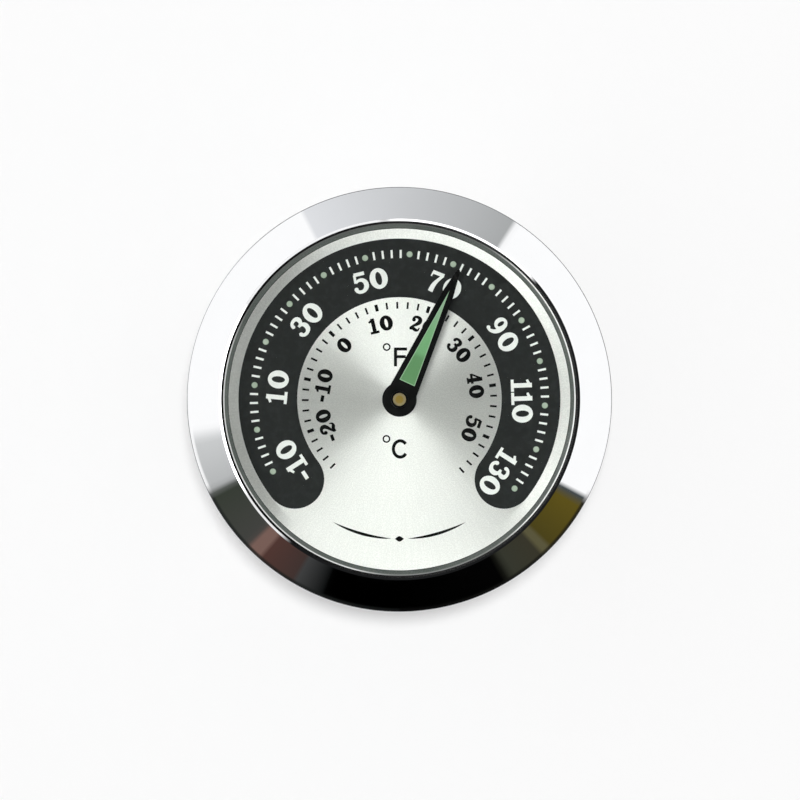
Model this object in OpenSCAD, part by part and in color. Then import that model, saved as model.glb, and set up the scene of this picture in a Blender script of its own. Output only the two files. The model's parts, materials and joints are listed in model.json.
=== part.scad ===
// Handlebar thermometer: a bimetal dial thermometer in a round bezelled pod
// that swivels on a two-piece handlebar clamp.
// The bar runs along X, the dial faces +Z and the top of the dial is towards +Y.
// The origin is the centre of the handlebar.
// Dial angles are counted clockwise from the top of the dial.

/* [Handlebar clamp] */
// Diameter of the bare handlebar
bar_d = 22.2; // [19:0.1:25.4]
// Thickness of the rubber liner round the bar
liner_t = 1.6; // [1:0.1:2.5]
// Width of the clamp along the bar
clamp_w = 21; // [17:0.5:23]
// Metal above the bar seat, up to the swivel washer
saddle_wall = 4.8; // [4.4:0.1:7]
// Metal round the bar seat at the shoulders of the saddle
hub_wall = 3.4; // [2.5:0.1:4.2]
// Metal below the bar seat, down to the flat foot
cap_wall = 4; // [3:0.1:7]
// Gap between saddle and cap, taken up by tightening
split_gap = 1; // [0.4:0.1:2]
// Height of the ears of the saddle
ear_t = 8; // [6:0.5:10]
// Metal between the bar seat and a clamp screw hole
screw_web = 2.6; // [2.4:0.1:3.5]
// Metal outside a counterbore
ear_edge = 1.3; // [0.8:0.1:3]
// Width of the flat foot under the cap
foot_w = 22; // [16:1:26]
// Radius of the rounded corners of foot and ears
corner_r = 2; // [0.5:0.1:3]
// Radius of the hollow corner between shoulder and ear
fillet_r = 1.5; // [0.5:0.1:2.5]
// Radius of the swivel boss on top of the saddle
swivel_boss_r = 9.6; // [8:0.1:10]

/* [Screws] */
// Thread diameter of the clamp screws
clamp_screw_d = 4; // [3:0.5:4.5]
// Head diameter of the clamp screws
clamp_head_d = 7; // [6:0.1:7.5]
// Head height of the clamp screws
clamp_head_h = 4; // [3:0.1:5]
// Size across the flats of the clamp screws' hexagon socket
clamp_hex = 3; // [2:0.5:4]
// Metal of the cap under a clamp screw head
head_seat_t = 4; // [3:0.1:6]
// How far the clamp screw heads lie inside the cap
head_recess = 0.5; // [0:0.1:1]
// Thread diameter of the swivel screw
swivel_screw_d = 5; // [4:0.5:5.5]
// Head diameter of the countersunk swivel screw
swivel_head_d = 9.2; // [8.6:0.1:9.6]
// Size across the flats of the swivel screw's hexagon socket
swivel_hex = 3; // [2.5:0.5:3.5]
// Width of the key hole through the saddle liner
key_hole_d = 5; // [4:0.5:6]
// Thread diameter of the movement screws
movement_screw_d = 2; // [1.6:0.1:2.2]
// Length of the movement screws
movement_screw_l = 5; // [3:0.5:6]
// Thread diameter of the bridge screws
bridge_screw_d = 1.4; // [1.2:0.1:1.6]
// Length of a bridge screw under its head
bridge_screw_l = 3; // [2:0.1:4]

/* [Pod] */
// Outer diameter of the bezel
bezel_d = 50; // [48:0.5:56]
// Width of the sloped face of the bezel, seen from the front
slope_w = 3.76; // [3.6:0.01:5]
// Angle between the sloped face and the dial
slope_angle = 40; // [36:1:45]
// Radial width of the rounded lip
lip_w = 0.55; // [0.4:0.01:0.8]
// Height of the lip above the glass
lip_proud = 0.35; // [0.1:0.05:1]
// Radius of the outer edge of the bezel
edge_r = 0.3; // [0.1:0.05:0.6]
// Height of the straight side of the bezel
skirt_h = 2.9; // [2.4:0.1:5]
// How much narrower the housing is than the bezel, on the radius
body_step = 0.8; // [0.3:0.1:1.2]
// Wall of the bezel's skirt
skirt_wall = 1.75; // [1.4:0.05:1.9]
// Thickness of the floor of the housing
floor_t = 2.5; // [1.5:0.1:4]
// Bevel at the back edge of the housing
back_bevel = 1.5; // [0.5:0.1:2.5]
// Thickness of the swivel washer
washer_t = 0.5; // [0.3:0.1:1]
// Height of the boss inside the housing for the swivel screw
boss_h = 2.5; // [2:0.1:5]
// Radius of that boss
boss_r = 5; // [4:0.1:7]
// Thickness of the gasket between bezel and housing
case_gasket_t = 0.5; // [0.3:0.1:1]
// Thickness of the gasket under the lens
lens_gasket_t = 0.6; // [0.3:0.1:1]
// Thickness of the lens
lens_t = 1.9; // [1.7:0.1:3]
// Thickness of the flange that holds the lens under the lip
flange_t = 0.7; // [0.5:0.1:0.9]
// How far the flange reaches under the lip
flange_w = 1; // [0.8:0.05:1.1]
// Gap between the rim of the lens and the lip
lens_gap = 0.15; // [0.05:0.05:0.3]
// Bevel at the rim of the lens
lens_bevel = 0.55; // [0.2:0.05:0.9]
// Wall of the dial ring
dial_ring_w = 1.3; // [0.8:0.1:1.4]
// Width of the ledge that carries the dial
ledge_w = 1.75; // [1.2:0.05:2.5]

/* [Dial] */
// Thickness of the dial plate
dial_t = 0.4; // [0.3:0.1:1]
// Height of the lens above the dial
lens_lift = 2.5; // [2.3:0.1:5]
// Width of the silver margin round the black scale band
dial_margin = 1.42; // [1:0.02:3]
// Width of the black scale band
band_w = 6.92; // [5:0.02:7]
// Angle from the top of the dial to each round end of the band
band_angle = 127.4; // [110:0.1:140]
// Lowest temperature marked, Fahrenheit
low_f = -10; // [-40:10:0]
// Highest temperature marked, Fahrenheit
high_f = 130; // [100:10:160]
// Dial angle of the lowest mark
low_angle = -119.65; // [-130:0.05:-100]
// Dial angle of the highest mark
high_angle = 127.7; // [100:0.1:130]
// Temperature that the pointer shows at rest, Fahrenheit
reading_f = 71.7; // [0:0.1:100]
// Degrees between neighbouring strokes, Fahrenheit and Celsius
stroke_step = 2; // [1:1:5]
// Degrees between dots, and between thick Celsius strokes
dot_step = 10; // [10:10:20]
// Distance from the band's outer edge to the middle of a luminous dot
dot_inset = 1.82; // [1:0.02:2.5]
// Diameter of a luminous dot
dot_d = 0.75; // [0.5:0.05:1.2]
// How far the middle of a Fahrenheit stroke lies inside the ring of dots
f_stroke_inset = 0; // [0:0.05:0.4]
// Length of a Fahrenheit stroke
f_stroke_l = 0.96; // [0.6:0.02:1.4]
// Width of a Fahrenheit stroke
f_stroke_w = 0.25; // [0.1:0.01:0.35]
// Coldest Celsius stroke
low_c = -28; // [-30:2:0]
// Hottest Celsius stroke
high_c = 58; // [30:2:58]
// How far the Celsius ring is printed clockwise of its true place
celsius_turn = -0.4; // [-1:0.1:1]
// Gap between the scale band and the Celsius strokes
c_stroke_gap = 0.55; // [0.2:0.05:1]
// Length of a Celsius stroke
c_stroke_l = 0.8; // [0.5:0.05:1.5]
// Width of a thin Celsius stroke
c_thin_w = 0.23; // [0.1:0.01:0.3]
// Width of a thick Celsius stroke
c_thick_w = 0.38; // [0.2:0.01:0.5]
// Thickness of the print on the dial
print_t = 0.04; // [0.02:0.01:0.1]

/* [Pointer] */
// How far the pointer's tip stays inside the ring of dots
tip_inset = 0.3; // [0:0.05:3]
// Radius of the pointer's hub
pointer_hub_r = 2.03; // [1.8:0.01:3]
// Width of the pointer's blade where its edges reach the spindle's axis
blade_w = 3.7; // [3:0.05:4]
// Width of the pointer's rounded tip
tip_w = 0.5; // [0.2:0.05:1]
// Thickness of the pointer blade
blade_t = 0.25; // [0.15:0.05:0.4]
// Height of the pointer above the dial
pointer_lift = 1.2; // [0.9:0.1:1.3]
// Gap between the hub's edge and the luminous insert
lume_gap = 0.12; // [0:0.02:1]
// Gap between the end of the luminous insert and the pointer's tip
lume_tip_gap = 2.7; // [2.6:0.05:6]
// Width of the luminous insert at its wide end
lume_w = 1.95; // [1:0.05:2.4]
// Thickness of the luminous paint
lume_t = 0.06; // [0.02:0.01:0.1]
// Radius of the spindle
spindle_r = 0.74; // [0.6:0.01:0.85]
// Radius of the spindle's rear pivot
pivot_r = 0.4; // [0.3:0.01:0.5]
// Wall of the pointer collet
collet_wall = 0.26; // [0.2:0.01:0.4]
// Height of the pointer collet's foot, under the blade
collet_foot_h = 0.5; // [0.3:0.05:0.6]

/* [Movement] */
// Thickness of the movement plate
plate_t = 1; // [0.9:0.1:1.5]
// Thickness of the rear bridge
bridge_t = 1; // [0.8:0.1:1.5]
// Width of the rear bridge
bridge_w = 6; // [4:0.1:8]
// Gap between the coil's anchor post and the pillar next to it
pillar_gap = 0.8; // [0.3:0.1:1.5]
// Radius of a bridge pillar
pillar_r = 1.4; // [1.2:0.1:2]
// Gap between a post of the housing and the housing's wall
post_gap = 1.3; // [0.9:0.1:2]
// Radius of a post
post_r = 2.2; // [2:0.1:2.6]
// Width of the bimetal strip
strip_w = 3; // [2:0.1:4]
// Thickness of the bimetal strip
strip_t = 0.25; // [0.15:0.01:0.4]
// Turns of the bimetal coil
coil_turns = 5.5; // [3.5:1:6.5]
// Distance between neighbouring turns of the coil
coil_pitch = 1.05; // [0.8:0.05:1.1]
// Radius of the coil collet
coil_collet_r = 1.4; // [1.2:0.05:1.6]
// Radius of the anchor post at the outer end of the coil
anchor_r = 0.9; // [0.7:0.05:1.1]

/* [Fits] */
// Running clearance of a pivot or spindle, on the radius
running_fit = 0.03; // [0.01:0.01:0.1]
// Clearance between parts that are screwed or pressed together, on the radius
close_fit = 0.02; // [0.01:0.01:0.05]
// Clearance of the stack of dial and glass in its bore, on the radius
stack_fit = 0.1; // [0.05:0.01:0.2]
// Clearance round a screw in a plain hole, on the radius
hole_fit = 0.15; // [0.1:0.01:0.2]
// Free height round moving pieces of the movement
run_gap = 0.4; // [0.3:0.05:0.6]

/* [Hidden] */
$fn = 96;

// Cutters run past the faces that they cut by this much
past = 1;

// Clamp
bar_r = bar_d / 2;
seat_r = bar_r + liner_t;
hub_r = seat_r + hub_wall;
saddle_top = seat_r + saddle_wall;
foot_z = -(seat_r + cap_wall);
clamp_screw_r = clamp_screw_d / 2;
clamp_head_r = clamp_head_d / 2;
counterbore_r = clamp_head_r + hole_fit;
ear_y = seat_r + screw_web + clamp_screw_r + hole_fit;
ear_reach = ear_y + counterbore_r + ear_edge;
ear_top = split_gap / 2 + ear_t;
clamp_tip_inset = 1;
clamp_screw_tip = ear_top - clamp_tip_inset;
head_seat_z = -(split_gap / 2 + head_seat_t);
cap_ear_z = head_seat_z - clamp_head_h - head_recess;

// Swivel screw, head down in the bar seat
swivel_r = swivel_screw_d / 2;
swivel_head_r = swivel_head_d / 2;
swivel_land = 0.3;
swivel_head_gap = 0.3;
swivel_hex_h = 1.5;
swivel_head_z = seat_r + swivel_head_gap;
swivel_cone_z = swivel_head_z + swivel_land;
swivel_cone_h = swivel_head_r - swivel_r;
washer_hole_r = swivel_r + hole_fit;
washer_inset = 1.6;
washer_r = swivel_boss_r - washer_inset;
swivel_boss_root = 2;

// Heights of the pod, from the back to the front
pod_back = saddle_top + washer_t;
floor_top = pod_back + floor_t;
boss_top = floor_top + boss_h;
boss_roof = 0.8;
swivel_tip = boss_top - boss_roof - run_gap;
bridge_z = boss_top + 2 * run_gap;
bridge_top = bridge_z + bridge_t;
coil_z = bridge_top + run_gap;
coil_top = coil_z + strip_w;
bush_flange_t = 0.4;
plate_z = coil_top + run_gap + bush_flange_t;
dial_z = plate_z + plate_t;
dial_top = dial_z + dial_t;
pointer_z = dial_top + pointer_lift;
pointer_top = pointer_z + blade_t;
collet_proud = 0.3;
collet_top = pointer_top + collet_proud;
spindle_proud = 0.1;
spindle_top = collet_top + spindle_proud;
lens_z = dial_top + lens_lift;
flange_top = lens_z + flange_t;
lens_top = lens_z + lens_t;
lip_r = lip_w / 2;
lip_z = lens_top + lip_proud - lip_r;
edge_z = lip_z + (lip_r - edge_r) / cos(slope_angle) - (slope_w + lip_r - edge_r) * tan(slope_angle);
skirt_z = edge_z - skirt_h;
shoulder_z = skirt_z - case_gasket_t;
step_z = edge_z - edge_r;
rim_z = step_z - stack_fit;

// Radii of the pod, from the outside in
bezel_r = bezel_d / 2;
body_r = bezel_r - body_step;
skirt_bore_r = bezel_r - skirt_wall;
rim_r = skirt_bore_r - close_fit;
lip_outer_r = bezel_r - slope_w;
lip_inner_r = lip_outer_r - lip_w;
lens_r = lip_inner_r - lens_gap;
stack_r = lip_inner_r + flange_w;
stack_bore_r = stack_r + stack_fit;
dial_ring_r = stack_r - dial_ring_w;
cavity_r = stack_bore_r - ledge_w;
plate_r = cavity_r - run_gap;
gasket_inset = 0.2;

// Spindle, bushes and pointer
bore_r = spindle_r + running_fit;
front_bush_wall = 0.75;
front_bush_r = bore_r + front_bush_wall;
front_flange_w = 0.8;
front_flange_r = front_bush_r + front_flange_w;
front_bush_proud = 0.2;
front_bush_top = dial_top + front_bush_proud;
rear_bush_wall = 1.2;
rear_bush_r = pivot_r + rear_bush_wall;
end_float = 0.05;
pivot_inset = 0.2;
pivot_z = bridge_z + pivot_inset;
pivot_top = coil_z - end_float;
collet_r = spindle_r + collet_wall;
collet_foot_w = 0.6;
collet_foot_r = collet_r + collet_foot_w;
pillar_pin_r = pillar_r / 2;
anchor_pin_r = anchor_r / 2;
bridge_screw_r = bridge_screw_d / 2;
bridge_head_r = 2 * bridge_screw_r;
bridge_head_h = 0.8 * bridge_t;
bridge_slot_w = bridge_head_h / 2;
movement_screw_r = movement_screw_d / 2;
movement_head_h = 0.8 * plate_t;
movement_head_r = movement_screw_r + movement_head_h;
post_angles = [90, 210, 330];
post_ring_r = cavity_r - post_gap - post_r;

// Bimetal coil: a strip in a flat spiral, its outer end on the +X side
coil_collet_gap = 0.08;
coil_start_r = coil_collet_r + coil_collet_gap + strip_t / 2;
coil_end_r = coil_start_r + coil_pitch * coil_turns;
steps_per_turn = 24;
coil_steps = ceil(coil_turns * steps_per_turn);
slot_room = 0.25;
slot_w = strip_t + slot_room;
slot_run = 0.1;
pillar_x = coil_end_r + anchor_r + pillar_gap + pillar_r;

// Scales: Fahrenheit is 32 at the freezing point and climbs 1.8 to each Celsius degree
freezing_f = 32;
f_per_c = 1.8;
function f_angle(f) = low_angle + (f - low_f) * (high_angle - low_angle) / (high_f - low_f);
function c_angle(c) = f_angle(freezing_f + f_per_c * c) + celsius_turn;
function dial_way(a) = [sin(a), cos(a)];
band_outer_r = dial_ring_r - dial_margin;
band_inner_r = band_outer_r - band_w;
band_mid_r = (band_outer_r + band_inner_r) / 2;
dot_ring_r = band_outer_r - dot_inset;
f_stroke_outer_r = dot_ring_r - f_stroke_inset + f_stroke_l / 2;
c_stroke_outer_r = band_inner_r - c_stroke_gap;
band_top = dial_top + print_t;

// Pointer
pointer_l = dot_ring_r - tip_inset;
lume_start = pointer_hub_r + lume_gap;
lume_end = pointer_l - lume_tip_gap;

// Extrudes a (y, z) outline along the bar, centred on the dial's axis
module along_bar(w) {
    rotate([90, 0, 90]) translate([0, 0, -w / 2]) linear_extrude(w) children();
}

// A ring or tube from z0 up to z1
module tube(r_out, r_in, z0, z1) {
    translate([0, 0, z0]) difference() {
        cylinder(r = r_out, h = z1 - z0);
        translate([0, 0, -past]) cylinder(r = r_in, h = z1 - z0 + 2 * past);
    }
}

// A plain round bar from z0 up to z1
module rod(r, z0, z1) {
    translate([0, 0, z0]) cylinder(r = r, h = z1 - z0);
}

// A rectangle from corner a to corner b with four rounded corners
module rounded_block(a, b, r) {
    translate([a.x + r, a.y]) square([b.x - a.x - 2 * r, b.y - a.y]);
    translate([a.x, a.y + r]) square([b.x - a.x, b.y - a.y - 2 * r]);
    for (x = [a.x + r, b.x - r], y = [a.y + r, b.y - r]) translate([x, y]) circle(r);
}

// The hollow corner between a shoulder of radius hub_r and the top of an ear, on the +y side
module ear_fillet() {
    centre = [sqrt(pow(hub_r + fillet_r, 2) - pow(ear_top + fillet_r, 2)), ear_top + fillet_r];
    on_hub = centre * hub_r / (hub_r + fillet_r);
    inside = [sqrt(hub_r * hub_r - ear_top * ear_top) - past, ear_top - past];
    difference() {
        polygon([inside, [centre.x, ear_top], centre, on_hub]);
        translate(centre) circle(fillet_r);
    }
}

module at_ears() {
    for (side = [-1, 1]) translate([0, side * ear_y, 0]) children();
}

module at_pillars() {
    for (side = [-1, 1]) translate([side * pillar_x, 0, 0]) children();
}

module at_posts() {
    for (a = post_angles) rotate(a) translate([post_ring_r, 0, 0]) children();
}

// Handlebar clamp

module clamp_saddle() {
    color("gainsboro") difference() {
        union() {
            intersection() {
                along_bar(clamp_w) intersection() {
                    union() {
                        circle(hub_r);
                        rounded_block([-ear_reach - corner_r, -corner_r], [ear_reach + corner_r, ear_top], corner_r);
                        ear_fillet();
                        mirror([1, 0]) ear_fillet();
                    }
                    translate([-2 * ear_reach, split_gap / 2]) square([4 * ear_reach, 2 * hub_r]);
                }
                rod(ear_reach, 0, 2 * hub_r);
            }
            rod(swivel_boss_r, seat_r - swivel_boss_root, saddle_top);
        }
        along_bar(clamp_w + 2 * past) circle(seat_r);
        at_ears() rod(clamp_screw_r + close_fit, 0, ear_top + past);
        rod(swivel_r + hole_fit, seat_r, saddle_top + past);
        rod(swivel_head_r + hole_fit, 0, swivel_cone_z);
        translate([0, 0, swivel_cone_z])
            cylinder(r1 = swivel_head_r + hole_fit, r2 = swivel_r, h = swivel_cone_h + hole_fit);
    }
}

module clamp_cap() {
    color("gainsboro") difference() {
        intersection() {
            along_bar(clamp_w) intersection() {
                union() {
                    circle(hub_r);
                    rounded_block([-ear_reach - corner_r, cap_ear_z], [ear_reach + corner_r, corner_r], corner_r);
                    rounded_block([-foot_w / 2, foot_z], [foot_w / 2, cap_ear_z + corner_r], corner_r);
                }
                translate([-2 * ear_reach, foot_z]) square([4 * ear_reach, -foot_z - split_gap / 2]);
            }
            rod(ear_reach, 2 * foot_z, 0);
        }
        along_bar(clamp_w + 2 * past) circle(seat_r);
        at_ears() {
            rod(clamp_screw_r + hole_fit, head_seat_z - past, 0);
            rod(counterbore_r, cap_ear_z - past, head_seat_z);
        }
    }
}

// Half of the rubber sleeve round the bar, on the upper (side 1) or lower (side -1) half
module half_liner(side) {
    along_bar(clamp_w) intersection() {
        difference() {
            circle(seat_r);
            circle(bar_r);
        }
        translate([-seat_r, side > 0 ? split_gap / 2 : -seat_r]) square([2 * seat_r, seat_r - split_gap / 2]);
    }
}

module saddle_liner() {
    color("#303030") difference() {
        half_liner(1);
        rod(key_hole_d / 2, 0, seat_r + past);
    }
}

module cap_liner() {
    color("#303030") half_liner(-1);
}

module clamp_screws() {
    color("silver") at_ears() difference() {
        union() {
            rod(clamp_screw_r, head_seat_z - past, clamp_screw_tip);
            rod(clamp_head_r, head_seat_z - clamp_head_h, head_seat_z);
        }
        translate([0, 0, head_seat_z - clamp_head_h - past])
            cylinder(d = clamp_hex / cos(30), h = clamp_head_h / 2 + past, $fn = 6);
    }
}

module swivel_washer() {
    color("#404040") tube(washer_r, washer_hole_r, saddle_top, pod_back);
}

module swivel_screw() {
    color("silver") difference() {
        union() {
            rod(swivel_head_r, swivel_head_z, swivel_cone_z);
            translate([0, 0, swivel_cone_z]) cylinder(r1 = swivel_head_r, r2 = swivel_r, h = swivel_cone_h);
            rod(swivel_r, swivel_cone_z, swivel_tip);
        }
        translate([0, 0, swivel_head_z - past])
            cylinder(d = swivel_hex / cos(30), h = swivel_hex_h + past, $fn = 6);
    }
}

// Pod

module housing() {
    color("silver") difference() {
        union() {
            rotate_extrude() polygon([
                [0, pod_back], [body_r - back_bevel, pod_back], [body_r, pod_back + back_bevel],
                [body_r, shoulder_z], [rim_r, shoulder_z], [rim_r, rim_z],
                [stack_bore_r, rim_z], [stack_bore_r, dial_z], [cavity_r, dial_z],
                [cavity_r, floor_top], [boss_r, floor_top], [boss_r, boss_top], [0, boss_top]]);
            at_posts() rod(post_r, floor_top - past, plate_z);
        }
        rod(swivel_r + close_fit, pod_back - past, boss_top - boss_roof);
        at_posts() rod(movement_screw_r + close_fit, dial_z - movement_screw_l - run_gap, dial_z);
    }
}

// The sloped face touches the round lip and the round outer edge
module bezel() {
    slope_normal = [sin(slope_angle), cos(slope_angle)];
    lip_centre = [lip_inner_r + lip_r, lip_z];
    edge_centre = [bezel_r - edge_r, edge_z];
    color("lightgray") rotate_extrude() {
        polygon([
            [skirt_bore_r, skirt_z], [bezel_r, skirt_z], [bezel_r, edge_z],
            edge_centre + edge_r * slope_normal, lip_centre + lip_r * slope_normal,
            [lip_inner_r, lip_z], [lip_inner_r, flange_top], [stack_bore_r, flange_top],
            [stack_bore_r, step_z], [skirt_bore_r, step_z]]);
        translate(lip_centre) circle(lip_r);
        translate(edge_centre) circle(edge_r);
    }
}

module bezel_gasket() {
    color("#202020") tube(body_r - gasket_inset, skirt_bore_r, shoulder_z, skirt_z);
}

module lens() {
    color("aliceblue", 0.3) rotate_extrude() polygon([
        [0, lens_z], [stack_r, lens_z], [stack_r, flange_top], [lens_r, flange_top],
        [lens_r, lens_top - lens_bevel], [lens_r - lens_bevel, lens_top], [0, lens_top]]);
}

module lens_gasket() {
    color("#202020") tube(stack_r, dial_ring_r, lens_z - lens_gasket_t, lens_z);
}

module dial_ring() {
    color("gainsboro") tube(stack_r, dial_ring_r, dial_top, lens_z - lens_gasket_t);
}

// Dial

module dial_plate() {
    color("gainsboro") difference() {
        rod(stack_r, dial_z, dial_top);
        rod(front_bush_r + stack_fit, dial_z - past, dial_top + past);
    }
}

module scale_band() {
    color("#18191a") translate([0, 0, dial_top]) linear_extrude(print_t) {
        difference() {
            circle(band_outer_r);
            circle(band_inner_r);
            polygon([[0, 0], for (a = [band_angle, 180, 360 - band_angle]) 2 * band_outer_r * dial_way(a)]);
        }
        for (a = [-band_angle, band_angle]) translate(band_mid_r * dial_way(a)) circle(band_w / 2);
    }
}

// A printed stroke that points at the centre, its outer end at radius r
module stroke(a, r, l, w, z) {
    rotate(-a) translate([-w / 2, r - l, z]) cube([w, l, print_t]);
}

module fahrenheit_strokes() {
    color("white") for (f = [low_f : stroke_step : high_f])
        if (f % dot_step != 0) stroke(f_angle(f), f_stroke_outer_r, f_stroke_l, f_stroke_w, band_top);
}

module lume_dots() {
    color("#b8e0b8") for (f = [low_f : dot_step : high_f])
        translate(dot_ring_r * dial_way(f_angle(f))) rod(dot_d / 2, band_top, band_top + 2 * print_t, $fn = 48);
}

module celsius_strokes() {
    color("black") for (c = [low_c : stroke_step : high_c])
        stroke(c_angle(c), c_stroke_outer_r, c_stroke_l, c % dot_step == 0 ? c_thick_w : c_thin_w, dial_top);
}

// Movement

module movement_plate() {
    color("goldenrod") difference() {
        rod(plate_r, plate_z, dial_z);
        rod(front_bush_r + close_fit, plate_z - past, dial_z + past);
        at_posts() {
            rod(movement_screw_r + hole_fit, plate_z - past, dial_z + past);
            translate([0, 0, dial_z - movement_head_h])
                cylinder(r1 = movement_screw_r, r2 = movement_head_r + close_fit, h = movement_head_h + close_fit);
        }
        at_pillars() rod(pillar_pin_r + close_fit, plate_z - past, dial_z + past);
        translate([coil_end_r, 0, 0]) rod(anchor_pin_r + close_fit, plate_z - past, dial_z + past);
    }
}

module movement_screws() {
    color("silver") at_posts() {
        rod(movement_screw_r, dial_z - movement_screw_l, dial_z);
        translate([0, 0, dial_z - movement_head_h])
            cylinder(r1 = movement_screw_r, r2 = movement_head_r, h = movement_head_h);
    }
}

module front_bush() {
    color("goldenrod") difference() {
        union() {
            rod(front_bush_r, plate_z - bush_flange_t, front_bush_top);
            rod(front_flange_r, plate_z - bush_flange_t, plate_z);
        }
        rod(bore_r, plate_z - 2 * bush_flange_t, front_bush_top + past);
    }
}

module bridge_pillars() {
    color("goldenrod") at_pillars() difference() {
        union() {
            rod(pillar_r, bridge_top, plate_z);
            rod(pillar_pin_r, bridge_top, dial_z);
        }
        rod(bridge_screw_r + close_fit, bridge_top - past, bridge_z + bridge_screw_l + run_gap);
    }
}

module rear_bridge() {
    color("goldenrod") translate([0, 0, bridge_z]) linear_extrude(bridge_t) difference() {
        union() {
            square([2 * pillar_x, bridge_w], center = true);
            at_pillars() circle(bridge_w / 2);
        }
        circle(rear_bush_r + close_fit);
        at_pillars() circle(bridge_screw_r + hole_fit);
    }
}

module bridge_screws() {
    color("silver") at_pillars() {
        rod(bridge_screw_r, bridge_z - bridge_head_h, bridge_z + bridge_screw_l);
        difference() {
            rod(bridge_head_r, bridge_z - bridge_head_h, bridge_z);
            translate([0, 0, bridge_z - bridge_head_h])
                cube([bridge_slot_w, 3 * bridge_head_r, bridge_head_h], center = true);
        }
    }
}

module rear_bush() {
    color("goldenrod") difference() {
        rod(rear_bush_r, bridge_z - run_gap, bridge_top);
        rod(pivot_r + running_fit, pivot_z - end_float, bridge_top + past);
    }
}

// A point of the spiral, off its middle line by the given distance
function coil_point(i, off) =
    let (a = 360 * coil_turns * i / coil_steps,
         r = coil_start_r + coil_pitch * a / 360 + off,
         way = a - 360 * coil_turns)
    r * [cos(way), sin(way)];

module bimetal_coil() {
    outer = [for (i = [0 : coil_steps]) coil_point(i, strip_t / 2)];
    inner = [for (i = [0 : coil_steps]) coil_point(i, -strip_t / 2)];
    gaps = [for (i = [0 : coil_steps - steps_per_turn]) norm(inner[i + steps_per_turn] - outer[i])];
    echo("least gap between turns of the bimetal coil, mm", min(gaps));
    color("peru") translate([0, 0, coil_z]) linear_extrude(strip_w)
        polygon(concat(outer, [for (i = [coil_steps : -1 : 0]) inner[i]]));
}

module coil_anchor() {
    color("goldenrod") translate([coil_end_r, 0, 0]) difference() {
        union() {
            rod(anchor_r, coil_z, plate_z);
            rod(anchor_pin_r, coil_z, dial_z);
        }
        translate([-slot_w / 2, -past, coil_z - past]) cube([slot_w, past + slot_run, strip_w + past]);
    }
}

// Pointer and what turns with it

module spindle() {
    color("goldenrod") {
        rod(pivot_r, pivot_z, pivot_top + past);
        rod(spindle_r, pivot_top, spindle_top);
    }
}

module coil_collet() {
    color("goldenrod") tube(coil_collet_r, spindle_r + close_fit, coil_z, coil_top - run_gap / 2);
}

module at_reading() {
    rotate(-f_angle(reading_f)) children();
}

module pointer_collet() {
    color("#202020") difference() {
        union() {
            rod(collet_foot_r, pointer_z - collet_foot_h, pointer_z);
            rod(collet_r, pointer_z - collet_foot_h, collet_top);
        }
        rod(spindle_r + close_fit, pointer_z - collet_foot_h - past, collet_top + past);
    }
}

module pointer_blade() {
    tip_y = pointer_l - tip_w / 2;
    color("#151515") at_reading() translate([0, 0, pointer_z]) linear_extrude(blade_t) difference() {
        union() {
            circle(pointer_hub_r);
            polygon([[-blade_w / 2, 0], [blade_w / 2, 0], [tip_w / 2, tip_y], [-tip_w / 2, tip_y]]);
            translate([0, tip_y]) circle(tip_w / 2);
        }
        circle(collet_r + close_fit);
    }
}

module pointer_lume() {
    color("#6eb473") at_reading() translate([0, 0, pointer_top]) linear_extrude(lume_t)
        polygon([[-lume_w / 2, lume_start], [lume_w / 2, lume_start], [0, lume_end]]);
}

clamp_saddle();
saddle_liner();
swivel_washer();
clamp_cap();
cap_liner();
clamp_screws();
housing();
swivel_screw();
bezel();
bezel_gasket();
lens();
lens_gasket();
dial_ring();
dial_plate();
scale_band();
fahrenheit_strokes();
lume_dots();
celsius_strokes();
movement_plate();
movement_screws();
front_bush();
bridge_pillars();
rear_bridge();
bridge_screws();
rear_bush();
bimetal_coil();
coil_anchor();
spindle();
coil_collet();
pointer_collet();
pointer_blade();
pointer_lume();
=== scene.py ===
import json
import math
from functools import partialmethod

import bmesh
import bpy
import numpy as np
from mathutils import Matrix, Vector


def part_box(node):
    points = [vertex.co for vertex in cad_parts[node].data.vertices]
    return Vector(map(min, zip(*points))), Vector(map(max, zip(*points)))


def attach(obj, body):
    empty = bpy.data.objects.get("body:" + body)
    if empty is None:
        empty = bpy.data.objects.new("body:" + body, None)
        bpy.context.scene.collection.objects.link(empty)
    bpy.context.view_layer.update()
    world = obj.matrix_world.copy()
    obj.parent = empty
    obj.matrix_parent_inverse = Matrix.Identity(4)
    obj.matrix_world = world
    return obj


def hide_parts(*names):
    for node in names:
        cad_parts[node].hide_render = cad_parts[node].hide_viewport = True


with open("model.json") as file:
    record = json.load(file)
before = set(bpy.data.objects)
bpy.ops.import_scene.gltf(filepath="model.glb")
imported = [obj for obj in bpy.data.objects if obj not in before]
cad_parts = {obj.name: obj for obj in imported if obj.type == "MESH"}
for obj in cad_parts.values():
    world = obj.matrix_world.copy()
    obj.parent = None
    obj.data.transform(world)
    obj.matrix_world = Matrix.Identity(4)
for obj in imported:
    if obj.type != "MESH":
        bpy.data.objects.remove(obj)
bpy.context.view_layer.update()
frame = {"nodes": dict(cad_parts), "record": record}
bodies = frame["record"]["behaviour"]["bodies"]
nodeBodies = {node: body for body, nodes in bodies.items() for node in nodes}
print("frame loaded:", len(frame["nodes"]), "nodes")

mm = 0.001  # lengths below are in millimetres, turned into metres
degree = math.pi / 180


def clockwise(angle):
    # direction at an angle from the top of the dial
    return np.array((math.sin(angle), math.cos(angle)))


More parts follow.
